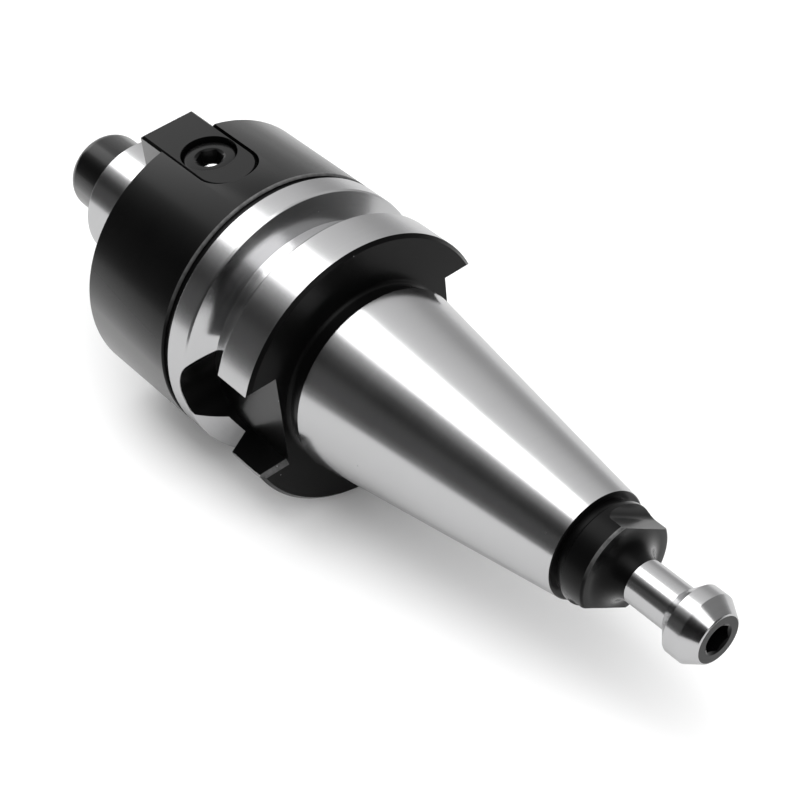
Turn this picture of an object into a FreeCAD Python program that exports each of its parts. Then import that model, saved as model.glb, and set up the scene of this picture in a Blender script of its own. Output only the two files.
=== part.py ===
import FreeCAD, Part

import math
import os

import Sketcher

# A face mill arbor with a 7/24 taper, its pull stud, two drive keys and the cutter's screw.
# Frame: origin at the centre of the gauge plane, +Z along the axis towards the pull stud.
# The spindle's drive slots lie on +X and -X, and the cutter's drive keys on +Y and -Y.
# Lengths are in millimetres, and every distance along the axis is counted from the gauge plane
# unless its name says otherwise.

Vector = FreeCAD.Vector

SIZES = [
    # The 7/24 taper that the spindle holds
    ("gauge_dia", 31.75),
    ("taper_rise", 7.0),
    ("taper_run", 24.0),
    ("taper_length", 48.4),
    ("taper_start", 1.1),
    ("small_end_chamfer", 0.15),
    # The relief neck between the flange and the ground taper
    ("neck_dia", 30.0),
    ("neck_corner", 0.7),
    ("neck_ramp", 0.6),
    # The flange, with the V-groove that the tool changer grips
    ("flange_gap", 2.0),
    ("flange_dia", 46.0),
    ("flange_width", 20.0),
    ("rear_rim_chamfer", 0.55),
    ("groove_rim_chamfer", 0.2),
    ("groove_centre", 13.6),
    ("groove_rim_width", 8.0),
    ("groove_floor_width", 3.38),
    ("groove_floor_dia", 38.0),
    # The two slots that the spindle's keys drive
    ("slot_width", 16.1),
    ("slot_floor", 16.3),
    ("slot_end", 19.15),
    ("slot_chamfer", 0.7),
    # The body, with a shallow relief ring behind the flange
    ("gauge_length", 45.0),
    ("body_dia", 46.0),
    ("front_chamfer", 1.3),
    ("relief_width", 1.3),
    ("relief_depth", 0.6),
    ("relief_chamfer", 0.4),
    # The pilot that centres the cutter
    ("pilot_dia", 22.0),
    ("pilot_length", 18.5),
    ("pilot_chamfer", 0.6),
    ("pilot_undercut_width", 1.2),
    ("pilot_undercut_depth", 0.3),
    ("seat_undercut_reach", 0.6),
    ("seat_undercut_depth", 0.2),
    # Clearances
    ("thread_clearance", 0.05),
    ("spigot_clearance", 0.02),
    ("key_side_clearance", 0.12),
    ("key_end_clearance", 0.5),
    ("drill_point_ratio", 0.6),
    ("hole_spare", 3.0),
    ("key_hole_spare", 0.8),
    ("screw_tip_ratio", 0.1),
    # The pull stud, counted from its seat on the taper's small end
    ("stud_thread_dia", 12.0),
    ("stud_shank_length", 20.0),
    ("stud_spigot_dia", 12.5),
    ("stud_spigot_length", 4.0),
    ("stud_tip_chamfer", 1.0),
    ("stud_collar_dia", 16.5),
    ("stud_collar_height", 5.7),
    ("stud_collar_chamfer", 0.4),
    ("stud_relief_dia", 15.4),
    ("stud_relief_height", 1.2),
    ("stud_flats_across", 12.7),
    ("stud_flats_start", 2.2),
    ("stud_flats_angle", 52.7),
    ("stud_neck_dia", 7.0),
    ("stud_neck_radius", 3.3),
    ("stud_head_dia", 11.0),
    ("stud_head_underside", 18.2),
    ("stud_head_rim", 2.4),
    ("stud_face_dia", 7.8),
    ("stud_height", 23.1),
    ("stud_socket_across", 4.0),
    ("stud_socket_depth", 5.0),
    # The drive keys, set into the body and standing out of its front face
    ("key_width", 10.0),
    ("key_height", 8.5),
    ("key_top_inset", 0.75),
    ("key_overhang", 4.9),
    ("key_length", 21.0),
    ("key_chamfer", 0.4),
    ("key_screw_station", 6.8),
    # The keys' socket screws
    ("key_screw_dia", 5.0),
    ("key_screw_hole_dia", 5.5),
    ("key_screw_length", 10.0),
    ("key_screw_head_dia", 8.5),
    ("key_screw_head_height", 5.0),
    ("key_screw_head_edge", 0.4),
    ("key_screw_bore_dia", 9.0),
    ("key_screw_sink", 0.8),
    ("key_screw_socket_across", 4.0),
    ("key_screw_socket_depth", 2.5),
    # The screw that clamps the cutter, counted from its seat on the pilot's end
    ("arbor_screw_dia", 10.0),
    ("arbor_screw_length", 18.0),
    ("arbor_screw_head_dia", 14.0),
    ("arbor_screw_head_height", 12.0),
    ("arbor_screw_head_round", 2.2),
    ("arbor_screw_socket_across", 8.0),
    ("arbor_screw_socket_depth", 5.0),
]

HEX_CORNER = 1 / math.sqrt(3)


class Size:
    """A length with its value now and the expression that keeps it tied to the sheet."""

    def __init__(self, value, text):
        self.value = value
        self.text = text

    def __add__(self, other):
        return Size(self.value + worth(other), f"({self.text} + {words(other)})")

    def __sub__(self, other):
        return Size(self.value - worth(other), f"({self.text} - {words(other)})")

    def __mul__(self, other):
        return Size(self.value * worth(other), f"({self.text} * {words(other)})")

    def __truediv__(self, other):
        return Size(self.value / worth(other), f"({self.text} / {words(other)})")

    def __neg__(self):
        return Size(-self.value, f"(0 - {self.text})")


def worth(item):
    return item.value if isinstance(item, Size) else item


def words(item):
    return item.text if isinstance(item, Size) else repr(item)


class Sheet:
    """The spreadsheet of driving dimensions, read as attributes."""

    def __init__(self, document):
        self.sheet = document.addObject("Spreadsheet::Sheet", "Sizes")
        for row, (alias, value) in enumerate(SIZES, start=1):
            self.sheet.set(f"A{row}", alias)
            self.sheet.set(f"B{row}", str(value))
            self.sheet.setAlias(f"B{row}", alias)
        document.recompute()

    def __getattr__(self, alias):
        return Size(float(self.sheet.get(alias)), f"Sizes.{alias}")


doc = FreeCAD.newDocument("FaceMillArbor")
size = Sheet(doc)


# Sketches and features

def origin_feature(body, role):
    """The body's own origin plane or axis of that role."""
    return next(item for item in body.Origin.OriginFeatures if item.Role == role)


def new_body(name):
    body = doc.addObject("PartDesign::Body", name)
    body.Label = name
    return body


def new_sketch(body, name, role, lift=None):
    """A sketch on one of the body's origin planes, lifted along the plane's normal."""
    sketch = body.newObject("Sketcher::SketchObject", name)
    sketch.AttachmentSupport = [(origin_feature(body, role), "")]
    sketch.MapMode = "FlatFace"
    if lift is not None:
        sketch.setExpression("AttachmentOffset.Base.z", lift.text)
    return sketch


def tie(sketch, kind, geometry, point, length):
    """One coordinate of a sketch point, tied to the sheet."""
    if abs(length.value) < 1e-9:
        axis = -2 if kind == "DistanceX" else -1
        sketch.addConstraint(Sketcher.Constraint("PointOnObject", geometry, point, axis))
        return
    place = sketch.addConstraint(Sketcher.Constraint(kind, -1, 1, geometry, point, length.value))
    sketch.setExpression(f"Constraints[{place}]", length.text)


ZERO = Size(0.0, "0")


def outline(sketch, steps):
    """A closed outline through the points in steps.

    A step is (x, y), or (x, y, centre_x, centre_y, turn) where the edge that leaves the point
    is an arc: turn is +1 where it runs anticlockwise and -1 where it runs clockwise.
    """
    ends = []
    for number, step in enumerate(steps):
        following = steps[(number + 1) % len(steps)]
        start = Vector(step[0].value, step[1].value, 0)
        finish = Vector(following[0].value, following[1].value, 0)
        if len(step) == 2:
            edge = sketch.addGeometry(Part.LineSegment(start, finish), False)
            ends.append((edge, 1, 2))
            continue
        centre = Vector(step[2].value, step[3].value, 0)
        first, last = (start, finish) if step[4] > 0 else (finish, start)
        from_angle = math.atan2(first.y - centre.y, first.x - centre.x)
        to_angle = math.atan2(last.y - centre.y, last.x - centre.x)
        circle = Part.Circle(centre, Vector(0, 0, 1), (start - centre).Length)
        edge = sketch.addGeometry(Part.ArcOfCircle(circle, from_angle, to_angle), False)
        ends.append((edge, 1, 2) if step[4] > 0 else (edge, 2, 1))
    for number, (edge, _, finish) in enumerate(ends):
        following = ends[(number + 1) % len(ends)]
        sketch.addConstraint(Sketcher.Constraint("Coincident", edge, finish, following[0], following[1]))
    for step, (edge, start, _) in zip(steps, ends):
        tie(sketch, "DistanceX", edge, start, step[0])
        tie(sketch, "DistanceY", edge, start, step[1])
    for number, step in enumerate(steps):
        if len(step) == 2:
            continue
        following = steps[(number + 1) % len(steps)]
        run = abs(following[0].value - step[0].value)
        rise = abs(following[1].value - step[1].value)
        if rise >= run:
            tie(sketch, "DistanceX", ends[number][0], 3, step[2])
        else:
            tie(sketch, "DistanceY", ends[number][0], 3, step[3])


def circle(sketch, x, y, diameter):
    edge = sketch.addGeometry(Part.Circle(Vector(x.value, y.value, 0), Vector(0, 0, 1), diameter.value / 2), False)
    place = sketch.addConstraint(Sketcher.Constraint("Diameter", edge, diameter.value))
    sketch.setExpression(f"Constraints[{place}]", diameter.text)
    tie(sketch, "DistanceX", edge, 3, x)
    tie(sketch, "DistanceY", edge, 3, y)


def hexagon(sketch, across):
    """A hexagon about the sketch's origin, with two of its flats across the y axis."""
    half = across / 2
    corner = across * HEX_CORNER
    outline(sketch, [
        (corner, ZERO), (corner / 2, half), (-corner / 2, half),
        (-corner, ZERO), (-corner / 2, -half), (corner / 2, -half),
    ])


def revolve(body, name, steps):
    """A solid of revolution about Z from its half section in the XZ plane."""
    sketch = new_sketch(body, name + "_section", "XZ_Plane")
    outline(sketch, steps)
    feature = body.newObject("PartDesign::Revolution", name)
    feature.Profile = sketch
    feature.ReferenceAxis = (sketch, ["V_Axis"])
    feature.Angle = 360
    doc.recompute()
    return feature


def pad(body, name, sketch, length):
    feature = body.newObject("PartDesign::Pad", name)
    feature.Profile = sketch
    feature.setExpression("Length", length.text)
    doc.recompute()
    return feature


def pocket(body, name, sketch, depth=None, along_normal=False):
    """A cut from the sketch, through everything where no depth is given."""
    before = body.Shape.Volume
    feature = body.newObject("PartDesign::Pocket", name)
    feature.Profile = sketch
    feature.Reversed = along_normal
    if depth is None:
        feature.Type = "ThroughAll"
    else:
        feature.setExpression("Length", depth.text)
    doc.recompute()
    if not feature.Shape.Volume < before - 1e-6:
        raise RuntimeError(f"{name} cuts nothing")
    return feature


def turned_copy(body, name, features):
    """The features and their copy half a turn round the axis."""
    pattern = body.newObject("PartDesign::PolarPattern", name)
    pattern.Originals = features
    pattern.Axis = (origin_feature(body, "Z_Axis"), [""])
    pattern.Angle = 360
    pattern.Occurrences = 2
    body.Tip = pattern
    doc.recompute()
    return pattern


def chamfer_edges(body, name, width, wanted):
    """A chamfer on the edges of the body's tip for which wanted is true."""
    base = body.Tip
    names = [f"Edge{number}" for number, edge in enumerate(base.Shape.Edges, start=1) if wanted(edge)]
    feature = body.newObject("PartDesign::Chamfer", name)
    feature.Base = (base, names)
    feature.setExpression("Size", width.text)
    doc.recompute()
    return feature


# The holder body

FLANGE_REAR = -size.flange_gap
FLANGE_FRONT = FLANGE_REAR - size.flange_width
BODY_FRONT = -size.gauge_length
PILOT_END = BODY_FRONT - size.pilot_length
KEY_TOP = size.body_dia / 2 - size.key_top_inset
KEY_SEAT = KEY_TOP - size.key_height
KEY_SCREW_STATION = BODY_FRONT + size.key_screw_station
KEY_REAR = BODY_FRONT - size.key_overhang + size.key_length
POCKET_REAR = KEY_REAR + size.key_end_clearance


def taper_radius(station):
    return size.gauge_dia / 2 - station * size.taper_rise / size.taper_run / 2


def taper_and_neck():
    """Half section from the taper's small end down to the flange's rear face."""
    small_end = taper_radius(size.taper_length)
    rim_station = size.taper_length - size.small_end_chamfer
    shoulder = taper_radius(size.taper_start)
    neck = size.neck_dia / 2
    corner = size.neck_corner
    return [
        (small_end - size.small_end_chamfer, size.taper_length),
        (taper_radius(rim_station), rim_station),
        (shoulder, size.taper_start),
        (neck, size.taper_start - size.neck_ramp),
        (neck, FLANGE_REAR + corner),
        (neck + corner, FLANGE_REAR),
    ]


def flange_and_body():
    """Half section of the flange with its V-groove, then the body with its relief ring."""
    rim = size.flange_dia / 2
    floor = size.groove_floor_dia / 2
    body = size.body_dia / 2
    centre = -size.groove_centre
    half_rim = size.groove_rim_width / 2
    half_floor = size.groove_floor_width / 2
    slope = (half_rim - half_floor) / (rim - floor)
    corner = size.groove_rim_chamfer
    relief = rim - size.relief_depth
    relief_front = FLANGE_FRONT - size.relief_width
    return [
        (rim - size.rear_rim_chamfer, FLANGE_REAR),
        (rim, FLANGE_REAR - size.rear_rim_chamfer),
        (rim, centre + half_rim + corner),
        (rim - corner, centre + half_rim - slope * corner),
        (floor, centre + half_floor),
        (floor, centre - half_floor),
        (rim - corner, centre - half_rim + slope * corner),
        (rim, centre - half_rim - corner),
        (rim, FLANGE_FRONT),
        (relief, FLANGE_FRONT),
        (relief, relief_front),
        (body - size.relief_chamfer, relief_front),
        (body, relief_front - size.relief_chamfer),
        (body, BODY_FRONT + size.front_chamfer),
        (body - size.front_chamfer, BODY_FRONT),
    ]


def pilot():
    """Half section from the cutter's seat, with the relief in its corner, to the pilot's end."""
    radius = size.pilot_dia / 2
    undercut = radius - size.pilot_undercut_depth
    undercut_end = BODY_FRONT - size.pilot_undercut_width
    seat_edge = radius + size.seat_undercut_reach
    seat_floor = BODY_FRONT + size.seat_undercut_depth
    return [
        (seat_edge, BODY_FRONT),
        (seat_edge - size.seat_undercut_depth, seat_floor),
        (undercut, seat_floor),
        (undercut, undercut_end),
        (radius, undercut_end - size.pilot_undercut_depth),
        (radius, PILOT_END + size.pilot_chamfer),
        (radius - size.pilot_chamfer, PILOT_END),
    ]


def screw_hole(mouth, radius, depth, inward):
    """Half section of a threaded hole with its drill point, from the mouth to the axis."""
    end = mouth + depth * inward
    return [(radius, mouth), (radius, end), (ZERO, end + radius * size.drill_point_ratio * inward)]


def make_holder_body():
    body = new_body("holder_body")
    front_hole = screw_hole(PILOT_END, size.arbor_screw_dia / 2 + size.thread_clearance,
                            size.arbor_screw_length + size.hole_spare, 1)
    spigot = size.stud_spigot_dia / 2 + size.spigot_clearance
    spigot_end = size.taper_length - size.stud_spigot_length - size.spigot_clearance
    rear_hole = screw_hole(size.taper_length, size.stud_thread_dia / 2 + size.thread_clearance,
                           size.stud_shank_length + size.hole_spare, -1)
    counterbore = [(rear_hole[0][0], spigot_end), (spigot, spigot_end), (spigot, size.taper_length)]
    revolve(body, "turned_form",
            taper_and_neck() + flange_and_body() + pilot() + front_hole + rear_hole[:0:-1] + counterbore)
    cut_drive_slots(body)
    cut_key_pockets(body)
    return body


def cut_drive_slots(body):
    """The spindle's drive slots, open at the flange's rear face and round at the far end."""
    half = size.slot_width / 2
    centre = half - size.slot_end
    mouth = -FLANGE_REAR
    sketch = new_sketch(body, "drive_slot_outline", "YZ_Plane", size.slot_floor)
    outline(sketch, [
        (half, mouth),
        (-half, mouth),
        (-half, centre, ZERO, centre, 1),
        (half, centre),
    ])
    slot = pocket(body, "drive_slot", sketch, along_normal=True)
    turned_copy(body, "drive_slots", [slot])

    def at_mouth(edge):
        box = edge.BoundBox
        flat = abs(box.ZMax - FLANGE_REAR.value) < 1e-4 and box.ZLength < 1e-4
        return flat and box.YLength < 1e-4 and abs(abs(box.YMax) - half.value) < 1e-4

    chamfer_edges(body, "drive_slot_lead_in", size.slot_chamfer, at_mouth)


def cut_key_pockets(body):
    """The pockets that hold the cutter's drive keys, and the threaded holes in their floors."""
    half = size.key_width / 2 + size.key_side_clearance
    centre = POCKET_REAR - half
    mouth = BODY_FRONT - size.front_chamfer
    sketch = new_sketch(body, "key_pocket_outline", "XZ_Plane", KEY_SEAT)
    outline(sketch, [
        (-half, mouth),
        (half, mouth),
        (half, centre, ZERO, centre, 1),
        (-half, centre),
    ])
    key_pocket = pocket(body, "key_pocket", sketch, along_normal=True)
    turned_copy(body, "key_pockets", [key_pocket])
    hole_sketch = new_sketch(body, "key_screw_hole_outline", "XZ_Plane", KEY_SEAT)
    circle(hole_sketch, ZERO, KEY_SCREW_STATION, size.key_screw_dia + size.thread_clearance * 2)
    under_head = size.key_height - size.key_screw_sink - size.key_screw_head_height
    depth = size.key_screw_length - under_head + size.key_hole_spare
    hole = pocket(body, "key_screw_hole", hole_sketch, depth)
    turned_copy(body, "key_screw_holes", [hole])


# The pull stud

def make_pull_stud():
    """The stud that the spindle's drawbar pulls, modelled from its seat upwards."""
    body = new_body("pull_stud")
    thread = size.stud_thread_dia / 2
    spigot = size.stud_spigot_dia / 2
    collar = size.stud_collar_dia / 2
    relief = size.stud_relief_dia / 2
    neck = size.stud_neck_dia / 2
    head = size.stud_head_dia / 2
    shank_end = -size.stud_shank_length
    collar_top = size.stud_collar_height
    edge = size.stud_collar_chamfer
    sweep = size.stud_neck_radius
    underside = size.stud_head_underside
    rim_top = underside + size.stud_head_rim
    revolve(body, "turned_stud", [
        (ZERO, shank_end),
        (thread - size.stud_tip_chamfer, shank_end),
        (thread, shank_end + size.stud_tip_chamfer),
        (thread, -size.stud_spigot_length),
        (spigot, -size.stud_spigot_length),
        (spigot, ZERO),
        (relief, ZERO),
        (relief, size.stud_relief_height),
        (collar - edge, size.stud_relief_height),
        (collar, size.stud_relief_height + edge),
        (collar, collar_top - edge),
        (collar - edge, collar_top),
        (neck + sweep, collar_top, neck + sweep, collar_top + sweep, -1),
        (neck, collar_top + sweep),
        (neck, underside - (head - neck)),
        (head, underside),
        (head, rim_top),
        (size.stud_face_dia / 2, size.stud_height),
        (ZERO, size.stud_height),
    ])
    flat_sketch = new_sketch(body, "wrench_flat_outline", "XY_Plane", size.stud_flats_start)
    outer = collar * 2
    for side in (1, -1):
        inner_face = size.stud_flats_across / 2 * side
        outer_face = outer * side
        outline(flat_sketch, [(inner_face, -outer), (outer_face, -outer), (outer_face, outer), (inner_face, outer)])
    pocket(body, "wrench_flats", flat_sketch, along_normal=True)
    socket_sketch = new_sketch(body, "stud_socket_outline", "XY_Plane", size.stud_height)
    hexagon(socket_sketch, size.stud_socket_across)
    pocket(body, "stud_socket", socket_sketch, size.stud_socket_depth)
    body.Placement = FreeCAD.Placement(
        Vector(0, 0, size.taper_length.value), FreeCAD.Rotation(Vector(0, 0, 1), size.stud_flats_angle.value))
    body.setExpression("Placement.Base.z", size.taper_length.text)
    body.setExpression("Placement.Rotation.Angle", f"{size.stud_flats_angle.text} * 1 deg")
    return body


# The cutter's drive keys and their screws

def make_drive_key(name, turn):
    """A key with a round rear end and a counterbored screw hole, turned about the axis."""
    body = new_body(name)
    half = size.key_width / 2
    front = BODY_FRONT - size.key_overhang
    centre = KEY_REAR - half
    sketch = new_sketch(body, name + "_outline", "XZ_Plane", KEY_SEAT)
    outline(sketch, [
        (-half, front),
        (half, front),
        (half, centre, ZERO, centre, 1),
        (-half, centre),
    ])
    pad(body, name + "_block", sketch, size.key_height)

    def on_top(edge):
        box = edge.BoundBox
        return box.YLength < 1e-4 and abs(box.YMin + KEY_TOP.value) < 1e-4

    chamfer_edges(body, name + "_edge_break", size.key_chamfer, on_top)
    bore_sketch = new_sketch(body, name + "_counterbore_outline", "XZ_Plane", KEY_TOP)
    circle(bore_sketch, ZERO, KEY_SCREW_STATION, size.key_screw_bore_dia)
    pocket(body, name + "_counterbore", bore_sketch, size.key_screw_sink + size.key_screw_head_height)
    hole_sketch = new_sketch(body, name + "_screw_hole_outline", "XZ_Plane", KEY_TOP)
    circle(hole_sketch, ZERO, KEY_SCREW_STATION, size.key_screw_hole_dia)
    pocket(body, name + "_screw_hole", hole_sketch)
    body.Placement = FreeCAD.Placement(Vector(0, 0, 0), FreeCAD.Rotation(Vector(0, 0, 1), turn))
    return body


def make_socket_screw(name, dia, length, head_dia, head_height, head_edge, across, depth):
    """A socket screw along its own Z, with the head above its seat at the origin.

    head_edge holds the section's points where the head's side turns into its flat end.
    """
    body = new_body(name)
    shank = dia / 2
    head = head_dia / 2
    tip = dia * size.screw_tip_ratio
    revolve(body, name + "_turned", [
        (ZERO, -length),
        (shank - tip, -length),
        (shank, tip - length),
        (shank, ZERO),
        (head, ZERO),
        *head_edge,
        (ZERO, head_height),
    ])
    sketch = new_sketch(body, name + "_socket_outline", "XY_Plane", head_height)
    hexagon(sketch, across)
    pocket(body, name + "_socket", sketch, depth)
    return body


def make_key_screws():
    """The two key screws, each square to the axis, kept together as one group."""
    seat = KEY_TOP - size.key_screw_sink - size.key_screw_head_height
    head = size.key_screw_head_dia / 2
    bevel = size.key_screw_head_edge
    bevelled_edge = [(head, size.key_screw_head_height - bevel), (head - bevel, size.key_screw_head_height)]
    screws = []
    for number, side in enumerate((-1, 1), start=1):
        screw = make_socket_screw(
            f"key_screw_{number}", size.key_screw_dia, size.key_screw_length, size.key_screw_head_dia,
            size.key_screw_head_height, bevelled_edge, size.key_screw_socket_across,
            size.key_screw_socket_depth)
        screw.Placement = FreeCAD.Placement(
            Vector(0, seat.value * side, KEY_SCREW_STATION.value), FreeCAD.Rotation(Vector(1, 0, 0), -90 * side))
        screw.setExpression("Placement.Base.y", (seat * side).text)
        screw.setExpression("Placement.Base.z", KEY_SCREW_STATION.text)
        screws.append(screw)
    group = doc.addObject("Part::Compound", "key_screws")
    group.Label = "key_screws"
    group.Links = screws
    return group


def make_arbor_screw():
    """The screw that clamps the cutter, its rounded head hanging from the pilot's end."""
    radius = size.arbor_screw_head_round
    centre = size.arbor_screw_head_dia / 2 - radius
    shoulder = size.arbor_screw_head_height - radius
    rounded_edge = [(centre + radius, shoulder, centre, shoulder, 1), (centre, size.arbor_screw_head_height)]
    screw = make_socket_screw(
        "arbor_screw", size.arbor_screw_dia, size.arbor_screw_length, size.arbor_screw_head_dia,
        size.arbor_screw_head_height, rounded_edge, size.arbor_screw_socket_across,
        size.arbor_screw_socket_depth)
    screw.Placement = FreeCAD.Placement(
        Vector(0, 0, PILOT_END.value), FreeCAD.Rotation(Vector(1, 0, 0), 180))
    screw.setExpression("Placement.Base.z", PILOT_END.text)
    return screw


def check_and_export(nodes):
    """Every object healthy and every node a valid solid, then one STEP file for each node."""
    doc.recompute()
    for item in doc.Objects:
        if {"Invalid", "Error"} & set(item.State):
            raise RuntimeError(f"{item.Name} failed: {item.State}")
    os.makedirs("parts", exist_ok=True)
    for node in nodes:
        if node.Shape.isNull() or not node.Shape.isValid():
            raise RuntimeError(f"{node.Label} has no valid shape")
        node.Shape.exportStep(f"parts/{node.Label}.step")
        print(node.Label, len(node.Shape.Solids), "solids,", round(node.Shape.Volume, 1), "mm3")


check_and_export([
    make_holder_body(),
    make_pull_stud(),
    make_drive_key("drive_key_1", 0),
    make_drive_key("drive_key_2", 180),
    make_key_screws(),
    make_arbor_screw(),
])
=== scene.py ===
# %% [markdown]
# # A face mill arbor on a light table
# The object is a steel tool holder. A steep ground taper goes into a machine spindle, a headed stud
# on its end is pulled by the machine's drawbar, and the black body at the other end carries a
# milling cutter on its short pilot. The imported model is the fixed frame, and every piece below is
# made at its real place in that frame, in metres.

# %% Load the frame
import math

import bpy
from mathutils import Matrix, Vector


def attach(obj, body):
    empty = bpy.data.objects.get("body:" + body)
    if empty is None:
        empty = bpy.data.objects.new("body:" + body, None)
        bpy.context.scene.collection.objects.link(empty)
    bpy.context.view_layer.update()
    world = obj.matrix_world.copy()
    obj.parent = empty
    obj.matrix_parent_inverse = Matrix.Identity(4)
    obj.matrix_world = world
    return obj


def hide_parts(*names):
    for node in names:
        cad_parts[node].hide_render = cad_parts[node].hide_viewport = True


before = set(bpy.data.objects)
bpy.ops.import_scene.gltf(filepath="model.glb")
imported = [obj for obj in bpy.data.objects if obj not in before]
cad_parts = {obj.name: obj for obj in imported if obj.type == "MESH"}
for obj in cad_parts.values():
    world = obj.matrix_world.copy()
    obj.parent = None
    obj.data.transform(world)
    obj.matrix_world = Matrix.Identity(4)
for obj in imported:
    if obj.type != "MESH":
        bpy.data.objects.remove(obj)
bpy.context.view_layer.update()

MM = 0.001
print("nodes in the frame:", sorted(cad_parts))

# %% [markdown]
# ## The camera
# The photograph is a close view with a long lens. The camera was solved from the circles of the
# turned form, so it stands where the real one stood: 0.3 m away, half from the side and half from
# the stud's end. The object lies on its side in the photograph, and the frame stands it on end, so
# the camera is rolled by the same amount.

# %% Camera
CAMERA_PLACE = (0.132842, -0.211432, 0.192918)
CAMERA_TURN = [math.radians(angle) for angle in (-39.1903, -39.4223, 174.1091)]
SENSOR_WIDTH = 36
LENS_LENGTH = 93.64
NEAREST_SEEN = 0.01
bpy.ops.object.camera_add(location=CAMERA_PLACE, rotation=CAMERA_TURN)
camera = bpy.context.object
camera.name = "photo_camera"
camera.data.sensor_width = SENSOR_WIDTH
camera.data.lens = LENS_LENGTH
camera.data.clip_start = NEAREST_SEEN
bpy.context.scene.camera = camera
print("camera distance in mm:", round(camera.location.length / MM, 1))

# %% [markdown]
# ## Shader arithmetic
# A material's maths is easier to read as an expression than as a drawing of nodes. Wire wraps one
# output socket, so that adding, multiplying or comparing wires adds the Math nodes.

# %% Wires
def plug(tree, place, value):
    """A link where the value is a wire, and otherwise the value itself."""
    if isinstance(value, Wire):
        tree.links.new(value.socket, place)
    else:
        place.default_value = value


def math_node(tree, operation, *values):
    made = tree.nodes.new("ShaderNodeMath")
    made.operation = operation
    for place, value in zip(made.inputs, values):
        plug(tree, place, value)
    return Wire(tree, made.outputs[0])


class Wire:
    """One output of a node, with the arithmetic of Math nodes."""

    def __init__(self, tree, socket):
        self.tree = tree
        self.socket = socket

    def __add__(self, other):
        return math_node(self.tree, "ADD", self, other)

    def __sub__(self, other):
        return math_node(self.tree, "SUBTRACT", self, other)

    def __rsub__(self, other):
        return math_node(self.tree, "SUBTRACT", other, self)

    def __mul__(self, other):
        return math_node(self.tree, "MULTIPLY", self, other)

    def __truediv__(self, other):
        return math_node(self.tree, "DIVIDE", self, other)

    def __rtruediv__(self, other):
        return math_node(self.tree, "DIVIDE", other, self)

    def __pow__(self, other):
        return math_node(self.tree, "POWER", self, other)

    def __rpow__(self, other):
        return math_node(self.tree, "POWER", other, self)

    def __gt__(self, other):
        return math_node(self.tree, "GREATER_THAN", self, other)

    def __lt__(self, other):
        return math_node(self.tree, "LESS_THAN", self, other)

    __radd__ = __add__
    __rmul__ = __mul__

    def root(self):
        return math_node(self.tree, "SQRT", self)

    def at_least(self, other):
        return math_node(self.tree, "MAXIMUM", self, other)

    def at_most(self, other):
        return math_node(self.tree, "MINIMUM", self, other)

    def between(self, low, high):
        """1 where this wire lies between the two values, and 0 elsewhere."""
        return (self > low) * (self < high)

    def turn_from(self, other):
        """The angle whose sine part is this wire and whose cosine part is the other."""
        return math_node(self.tree, "ARCTAN2", self, other)


# %% [markdown]
# ## Node trees
# Paint is one material, or the world. Its node method adds any node that isn't plain arithmetic:
# the settings go in first, because some of them change which sockets the node has.

# %% Paint
class Paint:
    """One material, or the world, and its nodes."""

    def __init__(self, name, world=False):
        self.world = world
        self.block = bpy.data.worlds.new(name) if world else bpy.data.materials.new(name)
        self.block.use_nodes = True
        self.tree = self.block.node_tree
        self.tree.nodes.clear()

    def node(self, kind, settings=None, sockets=None, output=0):
        """Adds a node, and gives the wire of its output, or of each output in a tuple of names."""
        made = self.tree.nodes.new(kind)
        for name, value in (settings or {}).items():
            if name == "stops":
                set_stops(made.color_ramp, value)
            else:
                setattr(made, name, value)
        for name, value in (sockets or {}).items():
            plug(self.tree, made.inputs[name], value)
        if isinstance(output, tuple):
            return [Wire(self.tree, made.outputs[name]) for name in output]
        return Wire(self.tree, made.outputs[output])

    def finish(self, surface):
        kind = "ShaderNodeOutputWorld" if self.world else "ShaderNodeOutputMaterial"
        sink = self.tree.nodes.new(kind)
        plug(self.tree, sink.inputs["Surface"], surface)
        return self.block


def set_stops(ramp, stops):
    """The ramp's stops, each a place from 0 to 1 and a grey level."""
    while len(ramp.elements) > 1:
        ramp.elements.remove(ramp.elements[-1])
    for number, (place, level) in enumerate(stops):
        stop = ramp.elements[0] if number == 0 else ramp.elements.new(place)
        stop.position = place
        stop.color = (level, level, level, 1)


def greys(paint, mask, low, high):
    """A grey that goes from low to high with the mask; low may be a colour wire."""
    low = low if isinstance(low, Wire) else (low, low, low, 1)
    return paint.node("ShaderNodeMix", {"data_type": "RGBA"}, {
        "Factor": mask, "A": low, "B": (high, high, high, 1)}, output="Result")


def place_parts(paint):
    """The object coordinates, their three parts and the distance from the axis, as wires."""
    place = paint.node("ShaderNodeTexCoord", output="Object")
    x, y, z = paint.node("ShaderNodeSeparateXYZ", None, {0: place}, ("X", "Y", "Z"))
    return place, x, y, z, (x * x + y * y).root()


# %% [markdown]
# ## Which way is up
# The arbor lies on its side in the photograph, but stands on end in the frame. The table, the strip
# light and the tent are all placed by their angle round the axis, from the direction that was
# straight up when the photograph was taken.

# %% Directions
UP = math.radians(-95.9)
UP_VECTOR = Vector((math.cos(UP), math.sin(UP), 0))
SIDE_VECTOR = Vector((-math.sin(UP), math.cos(UP), 0))
ACROSS_TURN = math.radians(90)
print("up in the photograph:", [round(part, 3) for part in UP_VECTOR])

# %% [markdown]
# ## The table
# The arbor lies on a white sheet that all but touches the body and the flange. Polished steel is a
# mirror, so the sheet is also the pale lower half of every ground face. It ends on the camera's side,
# where the room is dark. From behind it is clear, so that the views from below aren't blocked.

# %% Table
TABLE_DROP = 23.05 * MM
TABLE_EDGE = 0.18
TABLE_SIZE = (1.36, 2.6, 1)
TABLE_PLACE = UP_VECTOR * -TABLE_DROP + SIDE_VECTOR * (TABLE_EDGE - TABLE_SIZE[0] / 2)
TABLE_SEEN = 0.98
TABLE_MIRRORED = 0.65
TABLE_LIT = 0.7


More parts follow.
